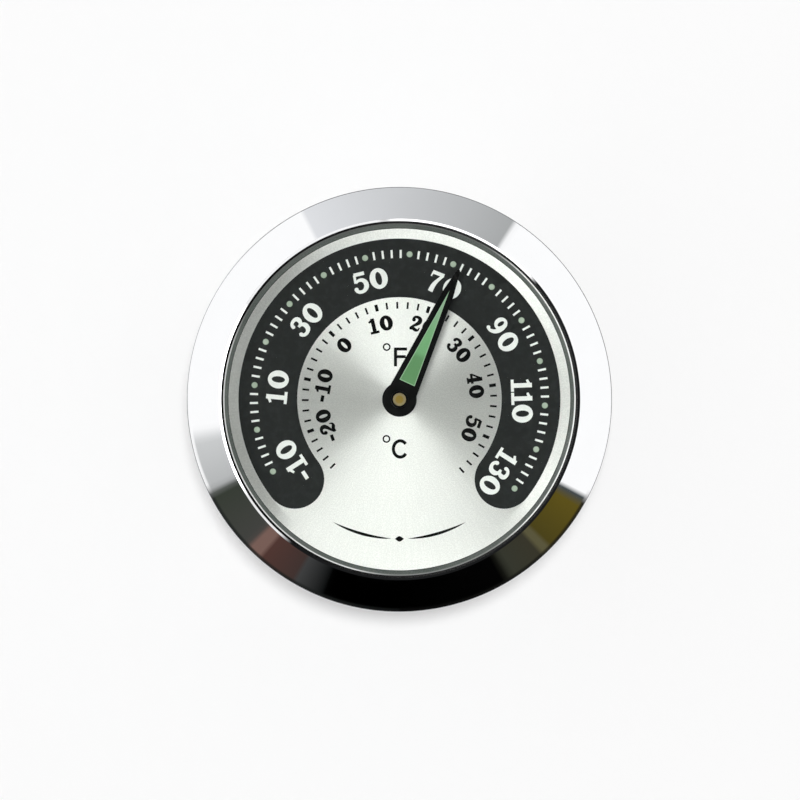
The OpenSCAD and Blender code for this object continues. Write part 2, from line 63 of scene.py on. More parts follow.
# One output of a node; + - * / ** on it add Math nodes
class Socket:
    def __init__(self, shader, output):
        self.shader = shader
        self.output = output

    def maths(self, operation, *others):
        return self.shader.node("Math", dict(enumerate((self, *others))), operation=operation)

    __add__ = __radd__ = partialmethod(maths, "ADD")
    __sub__ = partialmethod(maths, "SUBTRACT")
    __mul__ = partialmethod(maths, "MULTIPLY")
    __truediv__ = partialmethod(maths, "DIVIDE")
    __pow__ = partialmethod(maths, "POWER")

    def between(self, low, high, atLow=0.0, atHigh=1.0):  # eases from atLow to atHigh
        values = {0: self, 1: low, 2: high, 3: atLow, 4: atHigh}
        return self.shader.node("MapRange", values, interpolation_type="SMOOTHSTEP")


# The nodes of one material or of the world
class Shader:
    def __init__(self, owner):
        owner.use_nodes = True
        self.owner = owner
        self.nodes = owner.node_tree.nodes
        self.links = owner.node_tree.links
        self.nodes.clear()

    def node(self, kind, values=None, out=0, **settings):
        made = self.nodes.new("ShaderNode" + kind)
        for name, value in settings.items():
            setattr(made, name, value)
        for name, value in (values or {}).items():
            socket = made.inputs[name]
            if isinstance(value, Socket):
                self.links.new(value.output, socket)
            elif socket.type == "RGBA":
                socket.default_value = (*value, 1)
            else:
                socket.default_value = value
        return Socket(self, made.outputs[out]) if made.outputs else None

    def ramp(self, along, stops):  # colours along a value from 0 to 1
        shade = self.node("ValToRGB", {0: along})
        elements = shade.output.node.color_ramp.elements
        for index, (position, colour) in enumerate(stops):
            stop = elements[index] if index < 2 else elements.new(position)
            stop.position = position
            stop.color = (*colour, 1)
        return shade

    def mix(self, factor, first, second):
        return self.node("Mix", {0: factor, 6: first, 7: second}, 2, data_type="RGBA")

    def blendShaders(self, factor, first, second):
        return self.node("MixShader", {0: factor, 1: first, 2: second})

    def position(self):
        return self.node("TexCoord", out="Object")

    def rays(self, *kinds):  # 1 for a ray of that kind
        path = self.node("LightPath")
        return [Socket(self, path.output.node.outputs[f"Is {kind} Ray"]) for kind in kinds]

    def axes(self, vector=None):  # of the position, or of another vector
        parts = self.node("SeparateXYZ", {0: vector or self.position()})
        return [Socket(self, parts.output.node.outputs[index]) for index in range(3)]

    def fromAxis(self):  # distance from the dial's axis
        x, y = self.axes()[:2]
        return (x * x + y * y) ** 0.5

    def noise(self, size, detail=2.0, vector=None):  # size is the width of a blotch
        place = vector or self.position()
        return self.node("TexNoise", {"Vector": place, "Scale": 1 / size, "Detail": detail})

    def blotches(self, size, detail, *fade):
        return self.noise(size, detail).between(*fade)

    def streaks(self, vector, size, stretch, turn=(0, 0, 0)):  # noise drawn out along its own axes
        placed = self.node("Mapping", {"Vector": vector, "Rotation": turn, "Scale": stretch})
        return self.noise(size, vector=placed)

    def bump(self, height, depth):
        return self.node("Bump", {"Height": height, "Distance": depth})

    def principled(self, **values):
        return self.node("BsdfPrincipled", {name.replace("_", " "): value for name, value in values.items()})

    def marked(self, look, **values):  # a surface with fine marks in its face and its gloss
        size, detail, depth = look["marks"]
        least, added = look["roughness"]
        marks = self.noise(size, detail)
        return self.principled(Roughness=least + marks * added, Normal=self.bump(marks, depth), **values)

    def finish(self, surface, kind="OutputMaterial"):
        self.node(kind, {"Surface": surface})
        return self.owner


def newFinish(name):
    return Shader(bpy.data.materials.new(name))


def addObject(name, data):
    made = bpy.data.objects.new(name, data)
    bpy.context.scene.collection.objects.link(made)
    return made


# Camera: straight above the dial, at the scale of the picture
cameraSettings = {
    "distance": 600 * mm,  # from the widest edge of the bezel
    "edgeHeight": 2.9 * mm,  # of that edge above the bezel's foot
    "imagePixels": 800,
    "bezelPixels": 212.6,  # radius of the bezel in the picture
    "bezelCentre": (399.42, 399.47),
    "sensor": 36.0,
}


def makeCamera(settings):
    low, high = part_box("bezel")
    pixelSize = high.x / settings["bezelPixels"]
    middle = settings["imagePixels"] / 2
    data = bpy.data.cameras.new("camera")
    data.sensor_width = settings["sensor"]
    data.lens = settings["sensor"] * settings["distance"] / (settings["imagePixels"] * pixelSize)
    camera = addObject("camera", data)
    centreX, centreY = settings["bezelCentre"]
    height = low.z + settings["edgeHeight"] + settings["distance"]
    camera.location = ((middle - centreX) * pixelSize, (centreY - middle) * pixelSize, height)
    bpy.context.scene.camera = camera


makeCamera(cameraSettings)
bpy.context.scene.view_settings.view_transform = "Standard"


# Studio: what the chrome sees round it. Angles run clockwise from the top of the dial
whiteCard = [(1.06, 1.06, 1.06)] * 2
greyCard = ((0.80, 0.81, 0.83), (0.42, 0.43, 0.43))
studio = {
    "cards": [  # near the horizon: start, end and the colour at both ends
        (-180, -159, (0, 0, 0), (0, 0, 0)),
        (-158, -150, (0.006, 0.007, 0.007), (0.055, 0.056, 0.056)),
        (-149.2, -138.6, (0.056, 0.036, 0.032), (0.088, 0.042, 0.035)),
        (-138.2, -134.5, (0.2, 0.12, 0.1), (0.2, 0.12, 0.1)),
        (-133.5, -117, (0.06, 0.06, 0.055), (0.042, 0.05, 0.038)),
        (-115, -102, (0.5, 0.51, 0.51), (0.64, 0.65, 0.65)),
        (-98, -27.8, *whiteCard),
        (-27.2, 33.2, *greyCard),
        (33.8, 117, *whiteCard),
        (117.6, 119.2, (0.06, 0.072, 0.078), (0.06, 0.072, 0.078)),
        (119.8, 133.6, (0.12, 0.09, 0.012), (0.075, 0.06, 0.012)),
        (134.4, 137.4, (0.11, 0.1, 0.05), (0.11, 0.1, 0.05)),
        (137.8, 146.8, (0.043, 0.04, 0.026), (0.04, 0.042, 0.03)),
        (149.5, 180, (0.001, 0.001, 0.001), (0, 0, 0)),
    ],
    "cardRows": (5.0, 10.9),  # elevations between which the cards show
    "cardEdge": 0.15,  # softness of those two edges
    "frames": [  # the same above and below the cards
        (-180, -117, (0.008, 0.009, 0.009), (0.02, 0.023, 0.021)),
        (-114, -27.8, *whiteCard),
        (-27.2, 33.2, *greyCard),
        (33.8, 116, *whiteCard),
        (119, 180, (0.012, 0.012, 0.01), (0.004, 0.004, 0.004)),
    ],
    "cardTop": (13, 19),  # elevations where they give way to the ceiling
    "softBoxes": [  # angle, tilt from straight up, size and brightness
        (-118, 44, 16, 0.9),
        (-75, 44, 18, 0.9),
        (-30, 44, 18, 1.0),
        (22, 44, 18, 1.7),
        (-90, 31, 23, 5.0),
    ],
    "boxEdge": 2,  # softness of the boxes' edges
    "ceiling": (0.012, 0.0125, 0.013),
    "evenLight": (0.35, 0.35, 0.35),  # what matt surfaces get instead
}


def makeStudio(settings):
    world = bpy.data.worlds.new("studio")
    bpy.context.scene.world = world
    shader = Shader(world)
    direction = shader.node("TexCoord", out="Generated")
    x, y, z = shader.axes(direction)
    turn = x.maths("ARCTAN2", y) / (2 * math.pi) + 0.5
    elevation = z.maths("ARCSINE") / degree

    def around(cards):  # a ramp once round the dial
        stops = []
        for start, end, startColour, endColour in cards:
            stops += [(start / 360 + 0.5, startColour), (end / 360 + 0.5, endColour)]
        return shader.ramp(turn, stops)

    (low, high), edge = settings["cardRows"], settings["cardEdge"]
    inside = elevation.between(low - edge, low + edge) * elevation.between(high - edge, high + edge, 1.0, 0.0)
    cards = shader.mix(inside, around(settings["frames"]), around(settings["cards"]))
    upper = settings["ceiling"]
    for angle, tilt, size, bright in settings["softBoxes"]:
        a, t = angle * degree, tilt * degree
        middle = (*math.sin(t) * clockwise(a), math.cos(t))
        facing = shader.node("VectorMath", {0: direction, 1: middle}, "Value", operation="DOT_PRODUCT")
        away = facing.maths("ARCCOSINE") / degree
        within = away.between(size - settings["boxEdge"], size + settings["boxEdge"], 1.0, 0.0)
        upper = shader.mix(within, upper, (bright, bright, bright))
    seen = shader.mix(elevation.between(*settings["cardTop"]), cards, upper)
    camera, glossy = shader.rays("Camera", "Glossy")
    shown = shader.mix(camera, shader.mix(glossy, settings["evenLight"], seen), (1, 1, 1))
    shader.finish(shader.node("Background", {"Color": shown}), "OutputWorld")


makeStudio(studio)


# Key lamp: a small soft disc almost straight above the dial
keyLamp = {
    "height": 1200 * mm,
    "tilt": 2 * degree,
    "angle": 15 * degree,  # clockwise from the top of the dial
    "diameter": 80 * mm,
    "share": 0.68,  # of full white, on a white floor
}


def makeKeyLamp(settings):
    data = bpy.data.lights.new("keyLamp", "AREA")
    data.shape = "DISK"
    data.size = settings["diameter"]
    data.energy = settings["share"] * (math.pi * settings["height"]) ** 2
    lamp = addObject("keyLamp", data)
    lean, turn = settings["tilt"], settings["angle"]
    aside = settings["height"] * math.tan(lean)
    lamp.location = (*aside * clockwise(turn), settings["height"])
    lamp.rotation_euler = (-lean, 0, -turn)
    lamp.visible_glossy = False  # metal shows the soft boxes instead


makeKeyLamp(keyLamp)


# Floor: pale, level with the foot of the clamp
floorSettings = {
    "halfSize": 1500 * mm,
    "colour": (0.8, 0.8, 0.8),
    "grain": (2 * mm, 0.01 * mm),  # size and depth of the paper's grain
    "lift": 0.17,  # glow that brings the paper up to white
    "mirrored": (15 * mm, 110 * mm),  # radii between which the chrome sees the room instead
    "room": ((0.03, 0.032, 0.035), (0.55, 0.56, 0.57)),  # its dark and its light patches
    "patches": (180 * mm, 1, 0.45, 0.65),
}


def floorPaper(settings):
    shader = newFinish("floorPaper")
    size, depth = settings["grain"]
    bump = shader.bump(shader.noise(size), depth)
    paper = shader.node("BsdfDiffuse", {"Color": settings["colour"], "Normal": bump})
    camera, glossy, clear = shader.rays("Camera", "Glossy", "Transmission")
    lift = camera.maths("MAXIMUM", glossy.maths("MAXIMUM", clear)) * settings["lift"]
    glow = shader.node("Emission", {"Color": (1, 1, 1), "Strength": lift})
    lit = shader.node("AddShader", {0: paper, 1: glow})
    far = shader.fromAxis().between(*settings["mirrored"]) * glossy
    tint = shader.mix(shader.blotches(*settings["patches"]), *settings["room"])
    return shader.finish(shader.blendShaders(far, lit, shader.node("Emission", {"Color": tint})))


def makeFloor(settings):
    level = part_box("clamp_cap")[0].z
    half = settings["halfSize"]
    mesh = bpy.data.meshes.new("floor")
    corners = [(-half, -half, level), (half, -half, level), (half, half, level), (-half, half, level)]
    mesh.from_pydata(corners, [], [(0, 1, 2, 3)])
    mesh.materials.append(floorPaper(settings))
    addObject("floor", mesh)


makeFloor(floorSettings)
print("stage made")


# Finishes. A noise is its size, detail and where it fades between two shades; marks end with their depth,
# and a roughness is its least and what the marks add
def darker(colour, share):
    return [share * part for part in colour]


def paler(colour, amount):
    return [amount + part for part in colour]


chromeLook = {
    "gloss": 0.015,
    "smears": (3 * mm, 4),
    "smearFade": (0.4, 0.8),
    "smearShade": 0.97,
    "hairlines": (0.6 * mm, (1, 0.08, 1), (0, 0, 0.6)),  # size, stretch and turn
    "hairFade": (0.62, 0.8),
    "waves": (6 * mm, 1),
}


def chromePlate(name, colour, smear, waviness):
    # mirror chrome: faint smears and hairlines, and the waviness that polishing leaves
    look, shader = chromeLook, newFinish(name)
    smears = shader.noise(*look["smears"])
    hairlines = shader.streaks(shader.position(), *look["hairlines"])
    dulled = smears.between(*look["smearFade"]) * smear + hairlines.between(*look["hairFade"]) * smear
    return shader.finish(shader.principled(
        Base_Color=shader.mix(smears, colour, darker(colour, look["smearShade"])), Metallic=1.0,
        Roughness=look["gloss"] + dulled, Normal=shader.bump(shader.noise(*look["waves"]), waviness)))


machinedLook = {"patches": (0.8 * mm, 3), "patchFade": (0.35, 0.75), "dulled": 0.12, "toolDepth": 0.004 * mm}


def machinedMetal(name, colour, shade, toolMarks, roughness):
    # fine tool marks, and duller patches of a darker shade
    look, shader = machinedLook, newFinish(name)
    patches = shader.noise(*look["patches"])
    return shader.finish(shader.principled(
        Base_Color=shader.mix(patches.between(*look["patchFade"]), colour, shade), Metallic=1.0,
        Roughness=roughness + patches * look["dulled"],
        Normal=shader.bump(shader.noise(toolMarks), look["toolDepth"])))


tipLook = {
    "middle": (0.34, 0.23, 0.055),
    "edge": (0.37, 0.3, 0.16),
    "edgeRange": (0.5, 0.8),  # of the radius
    "marks": (0.1 * mm, 2, 0.004 * mm),
    "roughness": (0.3, 0.15),
}


def facedTip(name, look, radius):
    # the faced end of a spindle, paler round its edge
    shader = newFinish(name)
    start, end = look["edgeRange"]
    towardsRim = shader.fromAxis().between(start * radius, end * radius)
    tint = shader.mix(towardsRim, look["middle"], look["edge"])
    return shader.finish(shader.marked(look, Base_Color=tint, Metallic=1.0))


rubberLook = {
    "pimples": (0.25 * mm, 3),
    "pimpleDepth": 0.03 * mm,
    "bloom": (4 * mm, 3),
    "bloomFade": (0.45, 0.8),
    "bloomShade": 0.03,
    "roughness": (0.62, 0.25),
}


def mouldedRubber(name, colour):
    # pimples of the mould, and a paler, duller bloom in patches
    look, shader = rubberLook, newFinish(name)
    bloom = shader.noise(*look["bloom"])
    least, added = look["roughness"]
    return shader.finish(shader.principled(
        Base_Color=shader.mix(bloom.between(*look["bloomFade"]), colour, paler(colour, look["bloomShade"])),
        Roughness=least + bloom * added,
        Normal=shader.bump(shader.noise(*look["pimples"]), look["pimpleDepth"])))


inkLook = {"patches": (0.7 * mm, 2, 0.4, 0.8), "marks": (0.09 * mm, 1, 0.003 * mm), "roughness": (0.5, 0.15)}
lacquerLook = {
    "patches": (0.16 * mm, 1, 0.74, 0.8),
    "marks": (0.35 * mm, 2, 0.006 * mm),
    "roughness": (0.3, 0.12),
    "speckShade": 0.05,
}


def patched(name, look, colour, patchColour, sheen):
    shader = newFinish(name)
    tint = shader.mix(shader.blotches(*look["patches"]), colour, patchColour)
    return shader.finish(shader.marked(look, Base_Color=tint, Specular_IOR_Level=sheen))


def printedInk(name, colour, thin, sheen=0.5):
    # marks of the printing mesh, and slightly thinner patches
    return patched(name, inkLook, colour, thin, sheen)


def satinLacquer(name, colour, sheen):
    # orange peel and dust specks
    return patched(name, lacquerLook, colour, paler(colour, lacquerLook["speckShade"]), sheen)


paintLook = {
    "colour": (0.42, 0.5, 0.4),
    "cloud": (0.5, 0.57, 0.48),
    "clouds": (1.1 * mm, 2, 0.35, 0.75),
    # painted shade: the darker colour where the dome's surface tilts away
    "edge": (0.1, 0.16, 0.1),
    "edgeRange": (0.75, 0.95),  # painted shade: upright part of the surface's normal over which the darker edge colour gives way to the body
    "marks": (0.12 * mm, 3, 0.01 * mm),
    "roughness": (0.55, 0.2),
}


def luminousPaint(name, look):
    # grainy paint, with painted shade that makes it darker where its surface falls away
    shader = newFinish(name)
    body = shader.mix(shader.blotches(*look["clouds"]), look["colour"], look["cloud"])
    level = shader.axes(shader.node("NewGeometry", out="Normal"))[2]
    tint = shader.mix(level.between(*look["edgeRange"]), look["edge"], body)
    return shader.finish(shader.marked(look, Base_Color=tint))


# painted reflection: the insert is lighter from its middle on than at its root
insertLook = {
    "root": (0.125, 0.29, 0.125),
    "middle": (0.19, 0.43, 0.2),
    "tip": (0.3, 0.46, 0.32),
    "outline": (0.36, 0.56, 0.36),
    "middleFrom": (0.37, 0.44),  # of its reach from the spindle
    "tipFrom": (0.55, 0.9),
    "outlineWidth": (0.05 * mm, 0.13 * mm),
}


def insertFill(name, look, corners):
    # the same paint in a triangle with a pale outline, with a painted reflection that makes it lighter from
    # its middle on than at its root, and paler towards its tip
    shader = newFinish(name)
    x, y = shader.axes()[:2]
    centre = corners.mean(axis=0)
    fromEdge = 1.0
    for start, end in zip(corners, np.roll(corners, 1, axis=0)):
        # distance from this side, inwards along its normal
        across = np.array((start[1] - end[1], end[0] - start[0]))
        across /= np.linalg.norm(across) * np.sign((centre - start) @ across)
        away = x * across[0] + y * across[1] - start @ across
        fromEdge = away.maths("MINIMUM", fromEdge)
    far = max(corners, key=np.linalg.norm)
    along = (x * far[0] + y * far[1]) / (far @ far)
    reflectionStep = shader.mix(along.between(*look["middleFrom"]), look["root"], look["middle"])
    body = shader.mix(along.between(*look["tipFrom"]), reflectionStep, look["tip"])
    tint = shader.mix(fromEdge.between(*look["outlineWidth"]), look["outline"], body)
    return shader.finish(shader.marked(paintLook, Base_Color=tint))


dialLook = {
    "grooves": (50, 0.15, 0.5),  # stretch round the dial and outwards, and size
    "grooveFade": (0.3, 0.7),
    "grooveShade": 0.92,
    "grooveDepth": 0.005 * mm,
    "grain": (0.16 * mm, 2),
    "grainFade": (0.35, 0.65),
    "grainShade": 0.86,
    "metal": 0.6,
    "roughness": (0.29, 0.1),
    "spread": 0.9,  # of its reflections across the grooves
}


def brushedDial(name, look, colour):
    # silvered plate, brushed outwards from the middle
    shader = newFinish(name)
    x, y = shader.axes()[:2]
    around, outwards, size = look["grooves"]
    places = {0: shader.fromAxis() / mm, 1: y.maths("ARCTAN2", x) * around, 2: 0.0}
    grooves = shader.streaks(shader.node("CombineXYZ", places), size, (outwards, 1, 1))
    grain = shader.noise(*look["grain"])
    brushed = shader.mix(grooves.between(*look["grooveFade"]), colour, darker(colour, look["grooveShade"]))
    tint = shader.mix(grain.between(*look["grainFade"]), brushed, darker(colour, look["grainShade"]))
    least, added = look["roughness"]
    return shader.finish(shader.principled(
        Base_Color=tint, Metallic=look["metal"], Roughness=least + grain * added,
        Anisotropic=look["spread"], Normal=shader.bump(grooves, look["grooveDepth"])))


glassLook = {
    "clear": (0.985, 1.0, 0.99),
    "refraction": 1.5,
    "smears": (5 * mm, 3, 0.4, 0.9, 0.0, 0.03),  # and its roughness at both ends
    "underside": (0.99, 1.0, 0.99),
    "speck": (0.6, 0.6, 0.6),
    "dust": (0.3 * mm, 1, 0.75, 0.85, 0.0, 0.05),  # and how much it hides at both ends
}


def paneGlass(name, look):
    # flat glass, thin enough to let straight light through
    shader = newFinish(name)
    clear = shader.node("BsdfTransparent", {"Color": look["clear"]})
    smears = shader.blotches(*look["smears"])
    gloss = shader.node("BsdfGlossy", {"Color": (1, 1, 1), "Roughness": smears})
    mirror = shader.node("Fresnel", {"IOR": look["refraction"]})
    return shader.finish(shader.blendShaders(mirror, clear, gloss))


def clearUnderside(name, look):
    # the inner face of the glass, clear but for a few specks of dust
    shader = newFinish(name)
    clear = shader.node("BsdfTransparent", {"Color": look["underside"]})
    speck = shader.node("BsdfDiffuse", {"Color": look["speck"]})
    return shader.finish(shader.blendShaders(shader.blotches(*look["dust"]), clear, speck))


glassEdgeLook = {
    # grey-green in two shades, painted in for the dark wall that the clear bevel shows
    "paintedWallShades": ((0.11, 0.128, 0.115), (0.15, 0.168, 0.152)),
    "patches": (6 * mm, 2, 0.3, 0.7),
    "line": (0.025, 0.03, 0.028),
    "lineWidth": 0.14 * mm,
    "rimHighlights": ((0.3, 0.31, 0.3), (0.95, 0.96, 0.94), (0.16, 0.17, 0.16)),  # painted highlight on the rim: low, at the sides, high
    "rimHighlightRanges": ((-0.97, -0.85), (0.45, 0.75)),
    "rimHighlightWidth": (0.2 * mm, 0.1 * mm),  # its start and where it is full
    "uphill": (-0.26, 0.97),
    # painted shade: black below the bevel's foot, in the gap under the bezel's lip
    "foot": (0.004, 0.004, 0.004),
    "footWidth": 0.1 * mm,
    "marks": (0.1 * mm, 2, 0.002 * mm),
    "roughness": (0.22, 0.1),
}


def groundGlassEdge(name, look, inner, outer, foot):
    # grey-green painted in for the dark wall that the clear bevel shows, between a dark line and a painted
    # rim highlight that is brightest at the sides; black painted shade below its foot
    shader = newFinish(name)
    x, y, z = shader.axes()
    radius = shader.fromAxis()
    paintedWallShades = shader.mix(shader.blotches(*look["patches"]), *look["paintedWallShades"])
    lined = shader.mix(radius.between(inner, inner + look["lineWidth"]), look["line"], paintedWallShades)
    uphill = (x * look["uphill"][0] + y * look["uphill"][1]) / radius  # 1 at the high side, -1 opposite
    low, side, high = look["rimHighlights"]
    lowEnd, highStart = look["rimHighlightRanges"]
    rim = shader.mix(uphill.between(*highStart), shader.mix(uphill.between(*lowEnd), low, side), high)
    start, full = look["rimHighlightWidth"]
    withRimHighlight = shader.mix(radius.between(outer - start, outer - full), lined, rim)
    tint = shader.mix(z.between(foot - look["footWidth"], foot), look["foot"], withRimHighlight)
    fromInside = shader.node("NewGeometry", out="Backfacing")  # light leaves the glass freely
    clear = shader.node("BsdfTransparent", {"Color": (1, 1, 1)})
    return shader.finish(shader.blendShaders(fromInside, shader.marked(look, Base_Color=tint), clear))


# The insert's corners in the dial's plane; the farthest is its tip
insertPoints = np.array([vertex.co[:] for vertex in frame["nodes"]["pointer_lume"].data.vertices])
insertCorners = np.unique(insertPoints[:, :2].round(7), axis=0)
insertTip = max(insertCorners, key=np.linalg.norm)

bezelChrome = chromePlate("bezelChrome", (0.93, 0.935, 0.945), 0.02, 0.0006 * mm)
housingChrome = chromePlate("housingChrome", (0.9, 0.905, 0.915), 0.04, 0.002 * mm)
clampChrome = chromePlate("clampChrome", (0.88, 0.885, 0.895), 0.06, 0.004 * mm)
screwSteel = machinedMetal("screwSteel", (0.62, 0.62, 0.61), (0.5, 0.5, 0.5), 0.12 * mm, 0.25)
movementBrass = machinedMetal("movementBrass", (0.78, 0.56, 0.24), (0.6, 0.4, 0.15), 0.12 * mm, 0.28)
bimetalStrip = machinedMetal("bimetalStrip", (0.66, 0.45, 0.3), (0.5, 0.36, 0.27), 0.2 * mm, 0.3)
ringSilver = machinedMetal("ringSilver", (0.9, 0.9, 0.88), (0.8, 0.8, 0.78), 0.3 * mm, 0.35)
spindleBrass = facedTip("spindleBrass", tipLook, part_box("spindle")[1].x)
linerRubber = mouldedRubber("linerRubber", (0.02, 0.02, 0.02))
gasketRubber = mouldedRubber("gasketRubber", (0.012, 0.012, 0.012))
washerNylon = mouldedRubber("washerNylon", (0.05, 0.05, 0.05))
printBlack = printedInk("printBlack", (0.014, 0.015, 0.015), (0.02, 0.022, 0.022), 0.25)
signBlack = printedInk("signBlack", (0.002, 0.002, 0.002), (0.005, 0.005, 0.005), 0.1)
printWhite = printedInk("printWhite", (0.97, 0.975, 0.96), (0.9, 0.905, 0.89))
lumePaint = luminousPaint("lumePaint", paintLook)
insertPaint = insertFill("insertPaint", insertLook, insertCorners)
pointerBlack = satinLacquer("pointerBlack", (0.002, 0.002, 0.002), 0.12)
dialSilver = brushedDial("dialSilver", dialLook, (0.93, 0.92, 0.9))
lensPane = paneGlass("lensPane", glassLook)
lensUnderside = clearUnderside("lensUnderside", glassLook)
print("finishes made")


# Meshes from grids of points
def gridFaces(rows, columns, closeRows):
    # quad (i, j) joins point i, j with its neighbours; the grid closes across
    i = np.arange(rows if closeRows else rows - 1)[:, None]
    j = np.arange(columns)[None, :]
    nextRow, nextColumn = (i + 1) % rows, (j + 1) % columns
    here, beyond = i * columns, nextRow * columns
    corners = [here + j, here + nextColumn, beyond + nextColumn, beyond + j]
    return np.stack([corner + 0 * (i + j) for corner in corners], axis=-1).reshape(-1, 4)


meshRules = {
    "double": 0.0005 * mm,  # points closer than this are one
    "copiedDouble": 0.001 * mm,
    "flat": 1 * degree,  # copied faces closer than this are joined
    "sharp": 35 * degree,
    "bevelled": 40 * degree,
}


def addPiece(name, work, materials, node, replaced=True, sharp=meshRules["sharp"]):
    # rides the node's body in its material slot, and shows instead of it or on it
    bmesh.ops.recalc_face_normals(work, faces=work.faces)
    mesh = bpy.data.meshes.new(name)
    work.to_mesh(mesh)
    work.free()
    for material in materials:
        mesh.materials.append(material)
    if sharp:
        mesh.shade_smooth()
        mesh.set_sharp_from_angle(angle=sharp)
    piece = addObject(name, mesh)
    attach(piece, nodeBodies[node])
    if replaced:
        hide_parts(node)
    return piece


def makePiece(name, solid, materials, node, **settings):
    # a new surface, with its doubles merged and its poles closed
    points, faces = solid
    grid = bpy.data.meshes.new("grid")
    grid.from_pydata(points.reshape(-1, 3), [], faces.tolist())
    work = bmesh.new()
    work.from_mesh(grid)
    bpy.data.meshes.remove(grid)
    bmesh.ops.remove_doubles(work, verts=work.verts, dist=meshRules["double"])
    return addPiece(name, work, materials, node, **settings)


def roundEdges(piece, width, segments):
    edges = piece.modifiers.new("roundedEdges", "BEVEL")
    edges.width = width
    edges.segments = segments
    edges.limit_method = "ANGLE"
    edges.angle_limit = meshRules["bevelled"]
    edges.harden_normals = True


def softenedCopy(name, node, finish, width, segments):
    # a CAD node's shape, its flat faces joined and its edges rounded
    source = frame["nodes"][node]
    work = bmesh.new()
    work.from_mesh(source.data)
    work.transform(source.matrix_world)
    bmesh.ops.remove_doubles(work, verts=work.verts, dist=meshRules["copiedDouble"])
    bmesh.ops.dissolve_limit(work, angle_limit=meshRules["flat"], verts=work.verts, edges=work.edges)
    roundEdges(addPiece(name, work, [finish], node), width, segments)


leadShare = 0.1  # an extra point this far off each arc keeps its sides flat in the shading


def roundedProfile(corners, steps):
    # outline of (radius, height, rounding) corners: each arc touches both its sides
    outline = []
    for index, (r, z, rounding) in enumerate(corners):
        here = np.array((r, z))
        before = np.array(corners[index - 1][:2]) - here
        after = np.array(corners[(index + 1) % len(corners)][:2]) - here
        if rounding == 0:
            outline.append(here[None, :])
            continue
        before /= np.linalg.norm(before)
        after /= np.linalg.norm(after)
        half = math.acos(np.clip(before @ after, -1, 1)) / 2
        centre = here + (before + after) / np.linalg.norm(before + after) * rounding / math.sin(half)
        reach = rounding / math.tan(half)
        start, end = [here + side * reach - centre for side in (before, after)]
        t = np.linspace(0, 1, steps + 1)[:, None]
        sweep = math.pi - 2 * half
        arc = centre + (np.sin((1 - t) * sweep) * start + np.sin(t * sweep) * end) / math.sin(sweep)
        lead = leadShare * reach
        outline.append(np.vstack([arc[0] + before * lead, arc, arc[-1] + after * lead]))
    return np.vstack(outline)


def latheGrid(profile, steps):
    # point (i, j): profile point i turned by angle j about the dial's axis
    turn = np.linspace(0, 2 * math.pi, steps, endpoint=False)
    r, z = profile[:, 0, None], profile[:, 1, None]
    points = np.stack([r * np.cos(turn), r * np.sin(turn), z + 0 * turn], axis=-1)
    onAxis = profile[0, 0] == 0  # then the outline is left open there
    return points, gridFaces(len(profile), steps, not onAxis)


def joined(solids):
    # several grids as one: faces are counted on from the points before them
    points = [grid.reshape(-1, 3) for grid, faces in solids]
    starts = np.cumsum([0] + [len(flat) for flat in points])
    return np.vstack(points), np.vstack([faces + start for (grid, faces), start in zip(solids, starts)])


def copiesAround(solid, radius, angles):
    # the same grid again at every angle
    points, faces = solid
    return [(points + (*radius * clockwise(angle), 0), faces) for angle in angles]


# Bezel: straight skirt, sloped face and a narrow lip over the glass
bezelShape = {
    "slope": (40 * degree, 3.86 * mm),  # angle and width
    "lip": (22 * degree, 0.27 * mm),
    "roundings": (0.1 * mm, 0.3 * mm, 0.04 * mm),  # of its foot, its edge and the slope's top
    "slopeBulge": (0.06 * mm, 80 * mm),  # rise of its middle and rounding there
    "skirtWall": 1.75 * mm,
    "boreDepth": 2.6 * mm,
    "flangeRecess": 0.95 * mm,  # from the lip, over the glass's flange
    "turns": 360,
    "arcSteps": 14,
}
# Glass: a flat disc with a bevel, and a flange under the bezel
lensShape = {
    "flange": 0.7 * mm,
    "rimGap": 0.23 * mm,
    "bevel": 0.65 * mm,
    "softening": 0.03 * mm,
    "turns": 240,
    "arcSteps": 3,
    "sharp": 20 * degree,
}
bezelLow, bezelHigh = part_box("bezel")
lensLow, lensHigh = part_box("lens")
lipInner = bezelHigh.x - bezelShape["slope"][1] - bezelShape["lip"][1]
lensFlangeTop = lensLow.z + lensShape["flange"]
lensFaceDepth = 0.01 * mm  # faces within this of its top or underside count as flat


def makeBezel(shape):
    (slopeAngle, slopeWidth), (lipAngle, lipWidth) = shape["slope"], shape["lip"]
    foot, edge, top = shape["roundings"]
    outer, bore = bezelHigh.x, bezelHigh.x - shape["skirtWall"]
    slopeTop = bezelHigh.z - lipWidth * math.tan(lipAngle)
    slopeFoot = slopeTop - slopeWidth * math.tan(slopeAngle)
    step = bezelLow.z + shape["boreDepth"]
    recess = lipInner + shape["flangeRecess"]
    bulge, bend = shape["slopeBulge"]
    aside, rise = bulge * math.sin(slopeAngle), bulge * math.cos(slopeAngle)
    corners = [
        (bore, bezelLow.z, foot),
        (outer, bezelLow.z, foot),
        (outer, slopeFoot, edge),
        (outer - slopeWidth / 2 + aside, (slopeFoot + slopeTop) / 2 + rise, bend),
        (outer - slopeWidth, slopeTop, top),
        (lipInner, bezelHigh.z, 0),
        (lipInner, lensFlangeTop, 0),
        (recess, lensFlangeTop, 0),
        (recess, step, 0),
        (bore, step, 0),
    ]
    profile = roundedProfile(corners, shape["arcSteps"])
    makePiece("bezelShell", latheGrid(profile, shape["turns"]), [bezelChrome], "bezel")


makeBezel(bezelShape)


